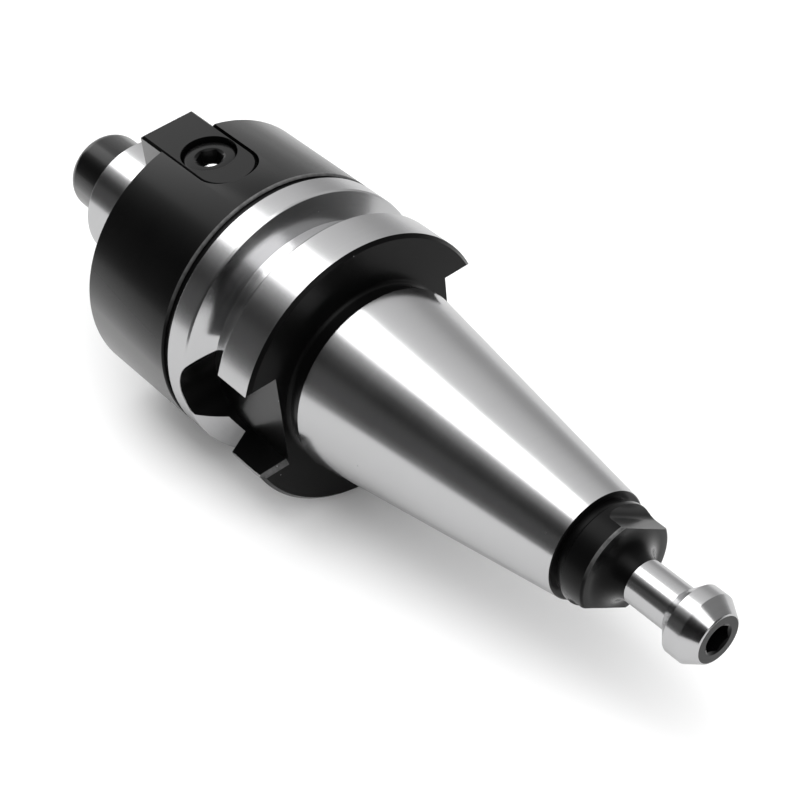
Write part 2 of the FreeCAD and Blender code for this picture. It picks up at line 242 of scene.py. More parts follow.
def table_material():
    paint = Paint("light_table")
    seen, mirrored = paint.node("ShaderNodeLightPath", output=("Is Camera Ray", "Is Glossy Ray"))
    shade = greys(paint, seen, greys(paint, mirrored, TABLE_LIT, TABLE_MIRRORED), TABLE_SEEN)
    front = paint.node("ShaderNodeBsdfDiffuse", None, {"Color": shade})
    clear = paint.node("ShaderNodeBsdfTransparent")
    behind = paint.node("ShaderNodeNewGeometry", output="Backfacing")
    return paint.finish(paint.node("ShaderNodeMixShader", None, {0: behind, 1: front, 2: clear}))


bpy.ops.object.select_all(action="DESELECT")
bpy.ops.mesh.primitive_plane_add(
    size=1, location=TABLE_PLACE, rotation=(ACROSS_TURN, 0, UP + ACROSS_TURN))
table = bpy.context.object
table.scale = TABLE_SIZE
table.name = "light_table"
table.data.materials.append(table_material())
print("table below the axis in mm:", TABLE_DROP / MM)

# %% [markdown]
# ## The light tent
# Everything else that the steel mirrors is a round tent of soft grey light. It glows by itself and only
# reflections see it: it lights nothing and casts no shadow, so it is a painted reflection. Its brightness
# is read off the photograph: each ground face shows the tent by the angle round the axis, from straight
# up towards the camera, and it fades towards the stud's end, where the photographer's room is dark. Each
# stop is an angle in degrees and the brightness there.

# %% Light tent
ROUND_STOPS = [
    (-180, 0.95), (-128, 1.24), (-108, 0.98), (-92, 0.61), (-78, 0.41), (-66, 0.43),
    (-46, 0.63), (-24, 0.78), (-10, 0.93), (24, 0.74), (34, 0.32), (46, 0.065),
    (58, 0.03), (70, 0.08), (86, 0.09), (95, 0.2), (98, 0.35), (180, 0.95),
]
END_STOPS = [
    (-90, 1.0), (4, 1.0), (14, 0.7), (26, 0.42), (42, 0.22), (56, 0.08), (66, 0.04), (90, 0.02),
]
TENT_RADIUS = 1.0
TENT_LENGTH = 4.0
TENT_SIDES = 96


def grey_by_angle(paint, angle, stops, whole):
    """A grey that follows the stops; the angle is in radians, and the stops span whole degrees."""
    places = [(degrees / whole + 0.5, level) for degrees, level in stops]
    share = angle * (1 / math.radians(whole)) + 0.5
    return paint.node("ShaderNodeValToRGB", {"stops": places}, {"Fac": share})


def tent_material():
    paint = Paint("light_tent")
    _, x, y, z, away = place_parts(paint)
    above = x * UP_VECTOR.x + y * UP_VECTOR.y
    beside = x * SIDE_VECTOR.x + y * SIDE_VECTOR.y
    # Painted reflection: the tent's brightness round the axis, seen only in mirrors.
    mirrored_glow = grey_by_angle(paint, beside.turn_from(above), ROUND_STOPS, 360)
    fade = grey_by_angle(paint, z.turn_from(away), END_STOPS, 180)
    return paint.finish(paint.node("ShaderNodeEmission", None, {"Color": mirrored_glow * fade}))


bpy.ops.mesh.primitive_cylinder_add(vertices=TENT_SIDES, radius=TENT_RADIUS, depth=TENT_LENGTH)
tent = bpy.context.object
tent.name = "light_tent"
tent.data.materials.append(tent_material())
tent.visible_camera = False
tent.visible_diffuse = False
tent.visible_shadow = False
print("tent stops round the axis:", len(ROUND_STOPS), "and along it:", len(END_STOPS))

# %% [markdown]
# ## Strip light and white room
# One long soft strip above the arbor makes the broad white streak along every turned face, and the
# short shadows on the table. The white room fills the rest. It is a little brighter where the camera
# or a mirror sees it than as light that falls on a matt face, so that the background is white and
# the steel isn't washed out.

# %% Strip light and world
STRIP_TURN = UP + math.radians(9.0)
STRIP_DISTANCE = 0.6
STRIP_SIZE = (0.37, 3.0)
STRIP_RADIANCE = 1.88
ROOM_LIGHT = 0.85
strip_data = bpy.data.lights.new("strip_light", "AREA")
strip_data.shape = "RECTANGLE"
strip_data.size, strip_data.size_y = STRIP_SIZE
strip_data.energy = STRIP_RADIANCE * math.pi * STRIP_SIZE[0] * STRIP_SIZE[1]
strip = bpy.data.objects.new("strip_light", strip_data)
strip.location = Vector((math.cos(STRIP_TURN), math.sin(STRIP_TURN), 0)) * STRIP_DISTANCE
strip.rotation_euler = (ACROSS_TURN, 0, STRIP_TURN + ACROSS_TURN)
bpy.context.scene.collection.objects.link(strip)


def world_light():
    paint = Paint("white_room", world=True)
    camera_ray, glossy_ray, transmission_ray = paint.node(
        "ShaderNodeLightPath", output=("Is Camera Ray", "Is Glossy Ray", "Is Transmission Ray"))
    seen = (camera_ray + glossy_ray + transmission_ray) > 0.5
    glow = greys(paint, seen, ROOM_LIGHT, 1.0)
    return paint.finish(paint.node("ShaderNodeBackground", None, {"Color": glow, "Strength": 1.0}))


bpy.context.scene.world = world_light()
bpy.context.scene.view_settings.view_transform = "Standard"
print("strip light in watts:", round(strip_data.energy, 1))

# %% [markdown]
# ## The holder's sizes
# The taper and the flange are the standard 30 size, and the body was measured against them. The
# taper loses 7 mm of diameter in every 24 mm of length, and the groove's flanks stand 30 degrees off
# square. All sizes are in millimetres, from the gauge plane where the taper is 31.75 mm across. They
# come before the materials, which need to know where the ground bands and the slots are.

# %% Holder sizes
GAUGE_RADIUS = 31.75 / 2
SMALL_END = 48.4
SMALL_END_BREAK = 0.15
NECK_RADIUS = 15.0
NECK_TOP = 1.1
NECK_SHOULDER = 0.5
NECK_FILLET = 0.7
FLANGE_RADIUS = 23.0
FLANGE_BACK = -2.0
FLANGE_FRONT = -22.0
FLANGE_BEVEL = 0.55
FLANGE_BREAK = 0.1
GROOVE_MIDDLE = -13.6
GROOVE_FLOOR = 19.0
GROOVE_FLOOR_HALF = 1.69
GROOVE_MOUTH_HALF = 4.2
GROOVE_BREAK = 0.2
RELIEF_RADIUS = 22.4
BODY_RADIUS = 23.0
BODY_BACK = -23.3
BODY_RIM = 0.4
SEAT = -45.0
SEAT_BEVEL = 1.3
SEAT_RELIEF = 0.6
SEAT_RELIEF_DEPTH = 0.2
PILOT_RADIUS = 11.0
PILOT_END = -63.5
PILOT_BEVEL = 0.6
PILOT_ROOT = 1.2
PILOT_ROOT_DEPTH = 0.3


def taper_radius(z):
    return GAUGE_RADIUS - z * 7 / 48


def groove_half(radius):
    """Half the groove's width at this distance from the axis."""
    return GROOVE_FLOOR_HALF + (radius - GROOVE_FLOOR) * math.tan(math.radians(30))


print("radius at the small end in mm:", round(taper_radius(SMALL_END), 3))

# %% [markdown]
# ## Patterns for the finishes
# Turning and grinding leave very fine marks round the axis, so one noise is stretched that way. It
# changes with the distance from the axis too, so that square faces have their marks. The others are
# plain: cloudy smears, and dust, which is a speck in a few cells of a cell pattern. No edge is quite
# sharp, so a rounded normal catches the light along them.

# %% Patterns
FACE_SHARE = 0.8
WAVES_ROUND = 60
SPECK_RADIUS = 0.055
SPECK_CHANCE = 0.82


def noise(paint, vector, scale, detail=2.0, roughness=0.5):
    return paint.node("ShaderNodeTexNoise", None, {
        "Vector": vector, "Scale": scale, "Detail": detail, "Roughness": roughness}, output="Fac")


def turning_marks(paint, x, y, z, radius, pitch):
    """A fine noise that changes along the axis and from it, and hardly at all round it."""
    along = (z + radius * FACE_SHARE) * (1 / pitch)
    vector = paint.node("ShaderNodeCombineXYZ", None, {
        "X": x * WAVES_ROUND, "Y": y * WAVES_ROUND, "Z": along})
    return noise(paint, vector, 1.0, 3.0, 0.6)


def dust(paint, place, cell):
    """1 on a tiny speck in the few cells that chance picks, and 0 elsewhere."""
    away, chance = paint.node(
        "ShaderNodeTexVoronoi", None, {"Vector": place, "Scale": 1 / cell}, ("Distance", "Color"))
    return (away < SPECK_RADIUS) * (chance > SPECK_CHANCE)


def softened_bump(paint, edge_reach, height, depth):
    """A normal rounded over the edges, with a relief of this height and depth on it."""
    rounded = paint.node("ShaderNodeBevel", {"samples": 6}, {"Radius": edge_reach})
    return paint.node("ShaderNodeBump", None, {
        "Strength": 1.0, "Distance": depth, "Height": height, "Normal": rounded})


def grey_colour(paint, level, blue):
    """A grey whose blue part is this many times its red and green parts."""
    return paint.node("ShaderNodeCombineColor", None, {
        "Red": level, "Green": level, "Blue": level * blue})


# %% [markdown]
# ## Ground steel
# The faces that must run true are ground bright after hardening. The steel is a clean metal with a low
# roughness that changes with the oil on it. The two bands were ground with a coarser wheel, and the
# groove's rear flank is given a darker steel.

# %% Ground steel
BAND_SPAN = (FLANGE_FRONT * MM, FLANGE_BACK * MM)
BAND_RADIUS = (FLANGE_RADIUS - 0.3) * MM
FLANK_SPAN = ((GROOVE_MIDDLE + 1.65) * MM, (GROOVE_MIDDLE + 4.1) * MM)
GRIND_PITCH = 0.12 * MM
GRIND_DEPTH = 0.0012 * MM
SMEAR_SCALE = 90.0
STEEL_DUST = 2.0 * MM
STEEL_EDGE = 0.12 * MM
STEEL_LEVEL = 0.58
STEEL_ROUGH = 0.08


def ground_steel():
    paint = Paint("ground_steel")
    place, x, y, z, radius = place_parts(paint)
    marks = turning_marks(paint, x, y, z, radius, GRIND_PITCH)
    smears = noise(paint, place, SMEAR_SCALE, 3.0)
    specks = dust(paint, place, STEEL_DUST)
    bands = z.between(*BAND_SPAN) * (radius > BAND_RADIUS)
    flank = z.between(*FLANK_SPAN)
    level = STEEL_LEVEL + marks * 0.05 + smears * 0.04 - specks * 0.2 - flank * 0.22
    rough = STEEL_ROUGH + marks * 0.05 + smears * 0.13 + bands * 0.03 + specks * 0.2
    return paint.finish(paint.node("ShaderNodeBsdfPrincipled", None, {
        "Base Color": grey_colour(paint, level, 1.01), "Metallic": 1.0, "Roughness": rough,
        "Normal": softened_bump(paint, STEEL_EDGE, marks, GRIND_DEPTH)}))


GROUND = ground_steel()
print("material:", GROUND.name)

# %% [markdown]
# ## Black oxide
# Everything else keeps its black oxide, a thin satin skin with a film of oil, which the coat stands for.
# The body and the keys are smoother, and shine up more at a glancing angle than the flange and the stud.
# The skin wears thin on rims, and where the spindle's keys rub the slots. On the rims more steel is made
# to show on the side that lay upwards, towards the strip light, so that part of that shine is a painted
# highlight. The skin is cut through where the grinding of the bands ran out over those slots.

# %% Black oxide
SLOT_SPAN = (FLANGE_FRONT * MM, (FLANGE_BACK - 0.6) * MM)
RIM_START = (FLANGE_RADIUS + 0.15) * MM
RIM_REACH = 0.6 * MM
TURN_PITCH = 0.3 * MM
TURN_DEPTH = 0.003 * MM
CLOUD_SCALE = 140.0
GRAIN_SCALE = 6000.0
RUB_SCALE = 700.0
OXIDE_DUST = 1.4 * MM
OXIDE_EDGE = 0.14 * MM
OXIDE_LEVEL = 0.0012
OXIDE_ROUGH = 0.3
COAT_IOR = 2.5
COAT_RISE = 3.8
COAT_ROUGH = 0.2
LIT_SIDE_EDGE = 0.4


def black_oxide(name, gloss, plain_ior, upper_wear_and_highlight=0.0, rubbed=0.0, specks=0.3):
    """Black oxide; gloss is how fast it shines up at a glancing angle.

    The upper-side share is how much steel shows on the side that faced up, towards the strip light:
    partly wear and partly a painted highlight; rubbed is how much shows everywhere.
    """
    paint = Paint(name)
    place, x, y, z, radius = place_parts(paint)
    marks = turning_marks(paint, x, y, z, radius, TURN_PITCH)
    cloud = noise(paint, place, CLOUD_SCALE, 4.0)
    grain = noise(paint, place, GRAIN_SCALE, 2.0)
    rubbing = noise(paint, place, RUB_SCALE, 4.0, 0.7)
    rim = (radius + rubbing * RIM_REACH > RIM_START) * z.between(*SLOT_SPAN)
    # Painted highlight: the steel showing through grows on the side that faced up, towards the strip
    # light; the rubbing noise and the slot rims are real wear.
    upward = (x * UP_VECTOR.x + y * UP_VECTOR.y) / radius
    lit_upper_side = (upward * (1 + LIT_SIDE_EDGE) - LIT_SIDE_EDGE).at_least(0.0)
    bare_and_highlit = rim.at_least(rubbing * (lit_upper_side * upper_wear_and_highlight + rubbed))
    level = OXIDE_LEVEL + cloud * 0.001 + dust(paint, place, OXIDE_DUST) * specks
    colour = greys(paint, bare_and_highlit, grey_colour(paint, level, 1.03), STEEL_LEVEL)
    rough = OXIDE_ROUGH + marks * 0.05 + cloud * 0.08
    relief = softened_bump(paint, OXIDE_EDGE, marks * 0.7 + grain * 0.3, TURN_DEPTH)
    grazing = paint.node("ShaderNodeLayerWeight", None, {"Blend": 0.5}, output="Facing")
    film = (grazing ** COAT_RISE * gloss).at_most(1.0)
    return paint.finish(paint.node("ShaderNodeBsdfPrincipled", None, {
        "Base Color": colour, "Metallic": bare_and_highlit, "Roughness": rough, "IOR": plain_ior,
        "Normal": relief, "Coat Weight": film * (1 - bare_and_highlit), "Coat Roughness": COAT_ROUGH,
        "Coat IOR": COAT_IOR}))


BLACK = black_oxide("black_oxide", gloss=6.3, plain_ior=1.18, specks=0.0)
DULL = black_oxide("dull_oxide", gloss=2.5, plain_ior=1.21)
# This oxide's steel on the upper side is partly wear and partly a painted highlight.
WORN_AND_HIGHLIT = black_oxide("worn_and_highlit_oxide", gloss=2.5, plain_ior=1.21, upper_wear_and_highlight=0.4)
RUBBED = black_oxide("rubbed_oxide", gloss=2.5, plain_ior=1.21, rubbed=0.3)
print("materials:", BLACK.name, DULL.name, WORN_AND_HIGHLIT.name, RUBBED.name)

# %% [markdown]
# ## Handling pieces
# Boolean cuts, smooth shading and applied transforms all work on the selected object, so the piece in
# hand is always the only one selected. A cut leaves needle-thin faces where two surfaces almost
# agree, so points closer than half a micron are welded after it. What repeats is made once, and its
# copy is turned half round the axis with a mesh of its own. The slots and pockets come in such pairs.

# %% Piece helpers
WELD = 0.5e-6


def only(piece):
    """Selects this piece alone."""
    bpy.ops.object.select_all(action="DESELECT")
    piece.select_set(True)
    bpy.context.view_layer.objects.active = piece


def smooth(piece, degrees=24):
    only(piece)
    bpy.ops.object.shade_smooth_by_angle(angle=math.radians(degrees))


def settle(piece):
    """Moves the object's own turn, size and place into its mesh."""
    only(piece)
    bpy.ops.object.transform_apply(location=True, rotation=True, scale=True)


def cut(piece, cutter):
    """Takes the cutter's shape out of the piece, and removes the cutter."""
    change = piece.modifiers.new("cut", "BOOLEAN")
    change.object = cutter
    change.operation = "DIFFERENCE"
    change.solver = "EXACT"
    only(piece)
    bpy.ops.object.modifier_apply(modifier=change.name)
    bpy.data.objects.remove(cutter)
    bpy.ops.object.mode_set(mode="EDIT")
    bpy.ops.mesh.select_all(action="SELECT")
    bpy.ops.mesh.remove_doubles(threshold=WELD)
    bpy.ops.mesh.dissolve_degenerate(threshold=WELD)
    bpy.ops.object.mode_set(mode="OBJECT")


def copy_across(piece, name):
    """A copy with its own mesh, half a turn round the axis."""
    only(piece)
    bpy.ops.object.duplicate(linked=False)
    twin = bpy.context.object
    twin.name = name
    twin.rotation_euler = (0, 0, math.pi)
    settle(twin)
    return twin


def cut_both_sides(piece, cutter):
    """Takes the cutter's shape out of the piece here and half a turn round the axis."""
    for tool in (copy_across(cutter, cutter.name + "_back"), cutter):
        cut(piece, tool)


def hand_over(piece, node):
    """The piece rides with the holder and stands for its CAD node."""
    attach(piece, "root")
    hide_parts(node)
    print(piece.name, "stands for", node, "with", len(piece.data.polygons), "faces")


# %% [markdown]
# ## Drawing an outline
# An outline starts as a plane merged to one point. The point is extruded from corner to corner, and
# spun where the outline has an arc. The arcs are the real ones of a cutter or a turning tool.

# %% Outline helpers
def begin_outline(name, x, y, z):
    """Starts a piece as a single point, in edit mode."""
    bpy.ops.object.select_all(action="DESELECT")
    bpy.ops.mesh.primitive_plane_add(size=MM)
    piece = bpy.context.object
    piece.name = name
    bpy.ops.object.mode_set(mode="EDIT")
    bpy.ops.mesh.select_mode(type="VERT")
    bpy.ops.mesh.merge(type="CENTER")
    bpy.ops.transform.translate(value=(x * MM, y * MM, z * MM))
    return piece


def in_plane(first, height, across):
    """A vector in metres, from millimetres along the axis across and along Z."""
    return (first * MM, 0, height * MM) if across == "X" else (0, first * MM, height * MM)


def draw(points, across="X"):
    """Extrudes the selected point along the others; across is the axis of the first number.

    A point is (a, z), or (a, z, centre_a, centre_z, degrees, steps) for an arc that ends there.
    """
    turn_axis = (0, 1, 0) if across == "X" else (-1, 0, 0)
    for before, point in zip(points, points[1:]):
        if len(point) == 2:
            step = in_plane(point[0] - before[0], point[1] - before[1], across)
            bpy.ops.mesh.extrude_region_move(TRANSFORM_OT_translate={"value": step})
        else:
            centre = in_plane(point[2], point[3], across)
            bpy.ops.mesh.spin(
                steps=point[5], angle=math.radians(point[4]), center=centre, axis=turn_axis)


def close_mesh():
    """Welds the whole mesh, turns its faces outwards and leaves edit mode."""
    bpy.ops.mesh.select_all(action="SELECT")
    bpy.ops.mesh.remove_doubles(threshold=WELD)
    bpy.ops.mesh.normals_make_consistent(inside=False)
    bpy.ops.object.mode_set(mode="OBJECT")


# %% [markdown]
# ## Turning and milling
# Most pieces here are turned: half of the section is spun round the axis and welded shut. A milled
# block is an outline that is filled and pushed out square to its plane. A finish goes to faces picked
# by where their middles are, a little away from the edges of the stretch that is meant.

# %% Lathe and mill helpers
NEAR = 0.1
TOUCH = 0.01


def turn(name, points, steps):
    """A turned piece from its half section in the XZ plane, in millimetres."""
    piece = begin_outline(name, points[0][0], 0, points[0][1])
    draw(points)
    bpy.ops.mesh.select_all(action="SELECT")
    bpy.ops.mesh.spin(steps=steps, angle=math.tau, center=(0, 0, 0), axis=(0, 0, 1))
    close_mesh()
    print(name, "turned with", len(piece.data.polygons), "faces")
    return piece


def block(name, points, across, start, reach):
    """A closed outline, filled and pushed out along the third axis from start by reach."""
    origin = (points[0][0], start) if across == "X" else (start, points[0][0])
    piece = begin_outline(name, origin[0], origin[1], points[0][1])
    draw(points, across)
    bpy.ops.mesh.select_all(action="SELECT")
    bpy.ops.mesh.remove_doubles(threshold=WELD)
    bpy.ops.mesh.edge_face_add()
    value = (0, reach * MM, 0) if across == "X" else (reach * MM, 0, 0)
    bpy.ops.mesh.extrude_region_move(TRANSFORM_OT_translate={"value": value})
    close_mesh()
    return piece


def finish_faces(piece, material, chosen):
    """Gives the material to the faces that chosen(radius, z) picks by their middle."""
    if material.name not in piece.data.materials:
        piece.data.materials.append(material)
    only(piece)
    bpy.ops.object.mode_set(mode="EDIT")
    bpy.ops.mesh.select_mode(type="FACE")
    bpy.ops.mesh.select_all(action="DESELECT")
    bpy.ops.object.mode_set(mode="OBJECT")
    for face in piece.data.polygons:
        middle = face.center / MM
        face.select = chosen(math.hypot(middle.x, middle.y), middle.z)
    bpy.ops.object.mode_set(mode="EDIT")
    piece.active_material_index = piece.data.materials.find(material.name)
    bpy.ops.object.material_slot_assign()
    bpy.ops.mesh.select_all(action="DESELECT")
    bpy.ops.object.mode_set(mode="OBJECT")


def everywhere(radius, z):
    return True


# %% [markdown]
# ## The holder, turned
# One bar of steel, turned from end to end. From the stud's end the section runs down the taper, over
# the relief neck and the flange with its V-groove, along the black body to the cutter's seat, and
# out along the pilot. Small bevels on the rims matter: they are what catches the light as a thin line.

# %% Holder, turned
HOLDER_STEPS = 256
STUD_BORE_RADIUS = 6.05
STUD_BORE_END = 25.4
STUD_BORE_TIP = 21.77
SPIGOT_BORE_RADIUS = 6.27
SPIGOT_BORE_END = 44.38
SCREW_BORE_RADIUS = 5.05
SCREW_BORE_END = -42.5
SCREW_BORE_TIP = -39.47
BORE = [
    (0, STUD_BORE_TIP), (STUD_BORE_RADIUS, STUD_BORE_END), (STUD_BORE_RADIUS, SPIGOT_BORE_END),
    (SPIGOT_BORE_RADIUS, SPIGOT_BORE_END), (SPIGOT_BORE_RADIUS, SMALL_END),
]
TAPER = [
    (taper_radius(SMALL_END) - SMALL_END_BREAK, SMALL_END),
    (taper_radius(SMALL_END - SMALL_END_BREAK), SMALL_END - SMALL_END_BREAK),
    (taper_radius(NECK_TOP), NECK_TOP), (NECK_RADIUS, NECK_SHOULDER),
    (NECK_RADIUS, FLANGE_BACK + NECK_FILLET),
    (NECK_RADIUS + NECK_FILLET, FLANGE_BACK, NECK_RADIUS + NECK_FILLET, FLANGE_BACK + NECK_FILLET, 90, 6),
]
GROOVE_SIDE = [
    (FLANGE_RADIUS, GROOVE_MOUTH_HALF),
    (FLANGE_RADIUS - GROOVE_BREAK, groove_half(FLANGE_RADIUS - GROOVE_BREAK)),
    (GROOVE_FLOOR, GROOVE_FLOOR_HALF),
]
GROOVE_REAR = [(radius, GROOVE_MIDDLE + half) for radius, half in GROOVE_SIDE]
GROOVE_FRONT = [(radius, GROOVE_MIDDLE - half) for radius, half in reversed(GROOVE_SIDE)]
BANDS = [
    (FLANGE_RADIUS - FLANGE_BEVEL, FLANGE_BACK), (FLANGE_RADIUS, FLANGE_BACK - FLANGE_BEVEL),
    *GROOVE_REAR, *GROOVE_FRONT,
    (FLANGE_RADIUS, FLANGE_FRONT + FLANGE_BREAK), (FLANGE_RADIUS - FLANGE_BREAK, FLANGE_FRONT),
]
BODY = [
    (RELIEF_RADIUS, FLANGE_FRONT), (RELIEF_RADIUS, BODY_BACK), (BODY_RADIUS - BODY_RIM, BODY_BACK),
    (BODY_RADIUS, BODY_BACK - BODY_RIM, BODY_RADIUS - BODY_RIM, BODY_BACK - BODY_RIM, -90, 6),
    (BODY_RADIUS, SEAT + SEAT_BEVEL), (BODY_RADIUS - SEAT_BEVEL, SEAT),
]
PILOT = [
    (PILOT_RADIUS + SEAT_RELIEF, SEAT),
    (PILOT_RADIUS + SEAT_RELIEF - SEAT_RELIEF_DEPTH, SEAT + SEAT_RELIEF_DEPTH),
    (PILOT_RADIUS - PILOT_ROOT_DEPTH, SEAT + SEAT_RELIEF_DEPTH),
    (PILOT_RADIUS - PILOT_ROOT_DEPTH, SEAT - PILOT_ROOT),
    (PILOT_RADIUS, SEAT - PILOT_ROOT - PILOT_ROOT_DEPTH), (PILOT_RADIUS, PILOT_END + PILOT_BEVEL),
    (PILOT_RADIUS - PILOT_BEVEL, PILOT_END), (SCREW_BORE_RADIUS, PILOT_END),
    (SCREW_BORE_RADIUS, SCREW_BORE_END), (0, SCREW_BORE_TIP),
]
holder = turn("holder", BORE + TAPER + BANDS + BODY + PILOT, HOLDER_STEPS)

# %% [markdown]
# ## The ground faces
# The faces are picked by place while the piece is still plainly round: the taper, the two bands, the
# groove and the pilot are ground, and the body's rear rim shows a little wear, with more steel showing on
# its upper side as a painted highlight. The cuts that follow leave their own faces black.

# %% Holder finishes
def holder_ground(radius, z):
    taper = NECK_TOP < z < SMALL_END - SMALL_END_BREAK and radius > SPIGOT_BORE_RADIUS + NEAR
    bands = FLANGE_FRONT < z < FLANGE_BACK and radius > FLANGE_RADIUS - NEAR
    groove = abs(z - GROOVE_MIDDLE) < GROOVE_MOUTH_HALF and radius > GROOVE_FLOOR - NEAR
    pilot = z < SEAT and abs(radius - PILOT_RADIUS) < NEAR
    return taper or bands or groove or pilot


def body_rim(radius, z):
    return BODY_BACK - BODY_RIM < z < BODY_BACK


finish_faces(holder, DULL, everywhere)
finish_faces(holder, BLACK, lambda radius, z: z < BODY_BACK)
finish_faces(holder, GROUND, holder_ground)
# The rear rim's upper side is lighter as a painted highlight, on top of a little wear.
finish_faces(holder, WORN_AND_HIGHLIT, body_rim)

# %% [markdown]
# ## Drive slots
# The spindle's two driving keys fit these slots. A milling cutter leaves a round end, so the outline
# is two straight sides and a half circle, with a small lead-in at the mouth that the keys have
# rubbed. It is drawn flat, filled, pushed outwards past the rim and subtracted.

# %% Drive slots
SLOT_HALF = 8.05
SLOT_FLOOR = 16.3
SLOT_CENTRE = -11.1
SLOT_REACH = 9
SLOT_OPEN = 6.0
LEAD_IN = 0.7
SLOT_OUTLINE = [
    (SLOT_HALF + LEAD_IN, SLOT_OPEN), (SLOT_HALF + LEAD_IN, FLANGE_BACK),
    (SLOT_HALF, FLANGE_BACK - LEAD_IN), (SLOT_HALF, SLOT_CENTRE),
    (-SLOT_HALF, SLOT_CENTRE, 0, SLOT_CENTRE, -180, 48), (-SLOT_HALF, FLANGE_BACK - LEAD_IN),
    (-SLOT_HALF - LEAD_IN, FLANGE_BACK), (-SLOT_HALF - LEAD_IN, SLOT_OPEN),
]
cut_both_sides(holder, block("slot_cutter", SLOT_OUTLINE, "Y", SLOT_FLOOR, SLOT_REACH))


def lead_in(radius, z):
    return FLANGE_BACK - LEAD_IN + NEAR < z < FLANGE_BACK - NEAR and radius < FLANGE_RADIUS - 0.5


finish_faces(holder, RUBBED, lead_in)
print("slot width in mm:", 2 * SLOT_HALF)

# %% [markdown]
# ## Key pockets
# The two keys that drive the cutter sit in pockets with a round rear end, open at the body's front.
# Each is a hair wider than its key, which shows as a thin black line round the key. The pocket and
# the key are the same outline in two sizes.

# %% Key pockets
def round_ended(half, front, centre):
    """The outline of a block this half width, with one round end about the centre."""
    return [(half, front), (half, centre), (-half, centre, 0, centre, 180, 40), (-half, front)]


KEY_HALF = 5.0
KEY_GAP = 0.12
KEY_CENTRE = -33.9
KEY_FLOOR = 13.75
KEY_TOP = 22.25
KEY_FRONT = -49.9
POCKET_HALF = KEY_HALF + KEY_GAP
POCKET_CENTRE = -33.52
POCKET_OPEN = -50.0
POCKET_REACH = 12
pocket_outline = round_ended(POCKET_HALF, POCKET_OPEN, POCKET_CENTRE)
cut_both_sides(holder, block("pocket_cutter", pocket_outline, "X", KEY_FLOOR, POCKET_REACH))
smooth(holder)
hand_over(holder, "holder_body")

# %% [markdown]
# ## Hexagon sockets
# A socket is broached: first a hole is drilled, which leaves a shallow cone at the bottom, then the
# hexagon is pushed in, and the mouth is countersunk so that a key finds its way.

# %% Sockets
DRILL_SLOPE = math.tan(math.radians(31))
DRILL_SHARE = 0.42
MOUTH_SHARE = 1.07
OPEN_END = 0.1
CONE_SIDES = 48


def cut_cone(piece, radius, upper):
    """Takes a drill's cone out of the piece, this wide at height upper and with its tip down."""
    reach = radius + OPEN_END
    height = reach * DRILL_SLOPE
    middle = upper - radius * DRILL_SLOPE + height / 2
    bpy.ops.mesh.primitive_cone_add(
        vertices=CONE_SIDES, radius1=0, radius2=reach * MM, depth=height * MM,
        location=(0, 0, middle * MM))
    cut(piece, bpy.context.object)


def cut_socket(piece, across, depth, top, walls):
    """A hexagon socket this wide across its flats, down from the face at height top."""
    corner = across / math.sqrt(3)
    bottom = top - depth
    cut_cone(piece, corner * MOUTH_SHARE, top)
    bpy.ops.mesh.primitive_cylinder_add(
        vertices=6, radius=corner * MM, depth=2 * depth * MM, location=(0, 0, top * MM))
    cut(piece, bpy.context.object)
    cut_cone(piece, across * DRILL_SHARE, bottom)

    def inside(radius, z):
        return radius < corner and bottom < z < top - TOUCH

    def drilled(radius, z):
        return radius < across / 2 and bottom - across < z < bottom - TOUCH

    finish_faces(piece, walls, inside)
    finish_faces(piece, GROUND, drilled)


# %% [markdown]
# ## The pull stud
# It screws into the taper's small end. The collar is black, with two flats for a wrench, and sweeps
# down in a hollow curve to the ground neck. The head's 45 degree underside is what the drawbar pulls.

# %% Pull stud
STUD_STEPS = 192
THREAD_RADIUS = 6.0
THREAD_END = 28.4
THREAD_BEVEL = 1.0
SPIGOT_RADIUS = 6.25
SPIGOT_END = 44.4
UNDERCUT_RADIUS = 7.7
COLLAR_RADIUS = 8.25
COLLAR_BREAK = 0.4
COLLAR_BACK = 49.6
COLLAR_FRONT = 54.1
STUD_NECK = 3.5
SWEEP = 3.3
STUD_HEAD = 5.5
HEAD_UNDERSIDE = 64.6
HEAD_SHOULDER = 69.0
STUD_FACE = 3.75
STUD_FACE_BREAK = (0.23, 0.13)
STUD_END = 71.5
COLLAR_EDGE = COLLAR_RADIUS - COLLAR_BREAK
SHANK = [
    (0, THREAD_END), (THREAD_RADIUS - THREAD_BEVEL, THREAD_END),
    (THREAD_RADIUS, THREAD_END + THREAD_BEVEL), (THREAD_RADIUS, SPIGOT_END),
    (SPIGOT_RADIUS, SPIGOT_END), (SPIGOT_RADIUS, SMALL_END),
    (UNDERCUT_RADIUS, SMALL_END), (UNDERCUT_RADIUS, COLLAR_BACK),
]
COLLAR = [
    (COLLAR_EDGE, COLLAR_BACK), (COLLAR_RADIUS, COLLAR_BACK + COLLAR_BREAK),
    (COLLAR_RADIUS, COLLAR_FRONT - COLLAR_BREAK),
    (COLLAR_EDGE, COLLAR_FRONT, COLLAR_EDGE, COLLAR_FRONT - COLLAR_BREAK, 90, 6),
    (STUD_NECK + SWEEP, COLLAR_FRONT),
    (STUD_NECK, COLLAR_FRONT + SWEEP, STUD_NECK + SWEEP, COLLAR_FRONT + SWEEP, -90, 20),
]
HEAD = [
    (STUD_NECK, HEAD_UNDERSIDE), (STUD_HEAD, HEAD_UNDERSIDE + STUD_HEAD - STUD_NECK),
    (STUD_HEAD, HEAD_SHOULDER), (STUD_FACE + STUD_FACE_BREAK[0], STUD_END - STUD_FACE_BREAK[1]),
    (STUD_FACE, STUD_END), (0, STUD_END),
]
stud = turn("pull_stud_piece", SHANK + COLLAR + HEAD, STUD_STEPS)


def stud_ground(radius, z):
    return COLLAR_FRONT + SWEEP - TOUCH < z < STUD_END - TOUCH


